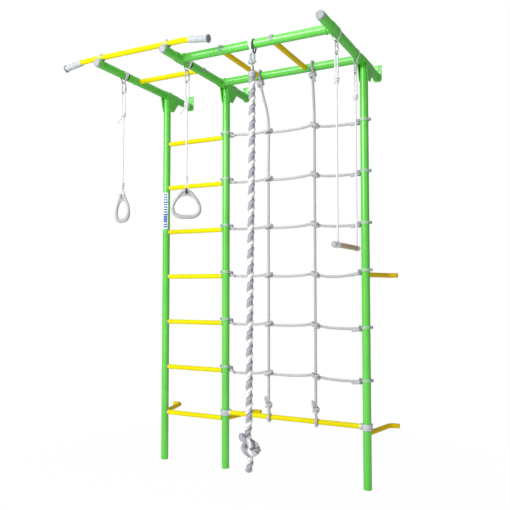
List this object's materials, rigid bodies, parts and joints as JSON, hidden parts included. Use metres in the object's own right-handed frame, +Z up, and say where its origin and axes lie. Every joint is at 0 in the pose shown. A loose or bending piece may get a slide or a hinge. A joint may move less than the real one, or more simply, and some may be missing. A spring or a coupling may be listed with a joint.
{
  "type": "wall bars with monkey bars",
  "caption": "Home gym frame for a wall: ladder, climbing net, overhead monkey bars, pull-up bar, hanging rings, knotted climbing rope and trapeze.",
  "frame": {"origin": "centre of the middle beam's wall plate on the wall's face", "axes": "+Y into the wall, +Z up, +X from the ladder towards the net"},
  "size_m": [1.662, 0.9373, 2.354],
  "materials": {
    "green_paint": "gloss powder coat",
    "yellow_paint": "gloss powder coat",
    "cap_plastic": "satin",
    "grip_rubber": "matt ribbed",
    "net_rope": "twisted rope",
    "webbing": "woven",
    "zinc_steel": "bright zinc",
    "cord": "braided",
    "climbing_rope": "three strand twisted rope",
    "ring_plastic": "satin",
    "wood": "lacquered beech"
  },
  "bodies": {
    "frame": {"beam_cap_left": "cap_plastic", "beam_cap_middle": "cap_plastic", "beam_cap_right": "cap_plastic", "beam_left": "green_paint", "beam_middle": "green_paint", "beam_right": "green_paint", "cross_bar": "yellow_paint", "front_rail": "green_paint", "grip_left": "grip_rubber", "grip_right": "grip_rubber", "monkey_rung_1": "yellow_paint", "monkey_rung_2": "yellow_paint", "net_bar": "yellow_paint", "net_line_1": "net_rope", "net_line_2": "net_rope", "net_row_1": "net_rope", "net_row_2": "net_rope", "net_row_3": "net_rope", "net_row_4": "net_rope", "net_row_5": "net_rope", "net_row_6": "net_rope", "pull_up_bar": "yellow_paint", "rear_rail": "green_paint", "rung_1": "yellow_paint", "rung_2": "yellow_paint", "rung_3": "yellow_paint", "rung_4": "yellow_paint", "rung_5": "yellow_paint", "rung_6": "yellow_paint", "rung_7": "yellow_paint", "top_bracket_left": "green_paint", "top_bracket_middle": "green_paint", "top_bracket_right": "green_paint", "upright_left": "green_paint", "upright_middle": "green_paint", "upright_right": "green_paint", "wall_foot_left": "yellow_paint", "wall_foot_middle": "yellow_paint", "wall_foot_right": "yellow_paint", "wall_foot_upper": "yellow_paint"},
    "ring_left_hanger": {"ring_left_sling": "webbing"},
    "ring_left_line": {"ring_left_link": "zinc_steel", "ring_left_cord": "cord"},
    "ring_left_grip": {"ring_left": "ring_plastic"},
    "ring_middle_hanger": {"ring_middle_sling": "webbing"},
    "ring_middle_line": {"ring_middle_link": "zinc_steel", "ring_middle_cord": "cord"},
    "ring_middle_grip": {"ring_middle": "ring_plastic"},
    "rope_hanger": {"rope_sling": "webbing"},
    "rope_line": {"rope_link": "zinc_steel", "rope_eye": "zinc_steel", "climbing_rope": "climbing_rope"},
    "trapeze_hanger": {"trapeze_front_sling": "webbing", "trapeze_rear_sling": "webbing"},
    "trapeze_front_line": {"trapeze_front_link": "zinc_steel", "trapeze_front_cord": "cord"},
    "trapeze_rear_line": {"trapeze_rear_link": "zinc_steel", "trapeze_rear_cord": "cord"},
    "trapeze_grip": {"trapeze_bar": "wood"}
  },
  "joints": [
    {"name": "ring_left_sway", "type": "hinge", "parent": "frame", "child": "ring_left_hanger", "pos_m": [-0.434, -0.703, -0.0215], "axis": [0, 1, 0], "range_deg": [-8, 30]},
    {"name": "ring_left_swing", "type": "hinge", "parent": "ring_left_hanger", "child": "ring_left_line", "pos_m": [-0.434, -0.703, -0.071], "axis": [1, 0, 0], "range_deg": [-30, 22]},
    {"name": "ring_left_tilt", "type": "hinge", "parent": "ring_left_line", "child": "ring_left_grip", "pos_m": [-0.434, -0.703, -0.7225], "axis": [0.9455, -0.3256, 0], "range_deg": [-40, 40]},
    {"name": "ring_middle_sway", "type": "hinge", "parent": "frame", "child": "ring_middle_hanger", "pos_m": [0, -0.703, -0.0215], "axis": [0, 1, 0], "range_deg": [-15, 8]},
    {"name": "ring_middle_swing", "type": "hinge", "parent": "ring_middle_hanger", "child": "ring_middle_line", "pos_m": [0, -0.703, -0.071], "axis": [1, 0, 0], "range_deg": [-30, 22]},
    {"name": "ring_middle_tilt", "type": "hinge", "parent": "ring_middle_line", "child": "ring_middle_grip", "pos_m": [0, -0.703, -0.7225], "axis": [0.866, 0.5, 0], "range_deg": [-40, 40]},
    {"name": "rope_swing", "type": "hinge", "parent": "frame", "child": "rope_hanger", "pos_m": [0.434, -0.77, -0.0215], "axis": [1, 0, 0], "range_deg": [-25, 10]},
    {"name": "rope_sideways", "type": "hinge", "parent": "rope_hanger", "child": "rope_line", "pos_m": [0.434, -0.77, -0.071], "axis": [0, 1, 0], "range_deg": [-8, 8]},
    {"name": "trapeze_sway", "type": "hinge", "parent": "frame", "child": "trapeze_hanger", "pos_m": [0.86, -0.717, -0.0215], "axis": [0, 1, 0], "range_deg": [-30, 12]},
    {"name": "trapeze_swing", "type": "hinge", "parent": "trapeze_hanger", "child": "trapeze_front_line", "pos_m": [0.86, -0.717, -0.071], "axis": [1, 0, 0], "range_deg": [-30, 3]},
    {"name": "trapeze_rear_swing", "type": "hinge", "parent": "trapeze_hanger", "child": "trapeze_rear_line", "pos_m": [0.86, -0.422, -0.071], "axis": [1, 0, 0], "range_deg": [-30, 3]},
    {"name": "trapeze_level", "type": "hinge", "parent": "trapeze_front_line", "child": "trapeze_grip", "pos_m": [0.86, -0.717, -1.0172], "axis": [1, 0, 0], "range_deg": [-3, 30]}
  ],
  "couplings": [
    {"joint": "trapeze_rear_swing", "follows": "trapeze_swing", "ratio": 1},
    {"joint": "trapeze_level", "follows": "trapeze_swing", "ratio": -1}
  ]
}
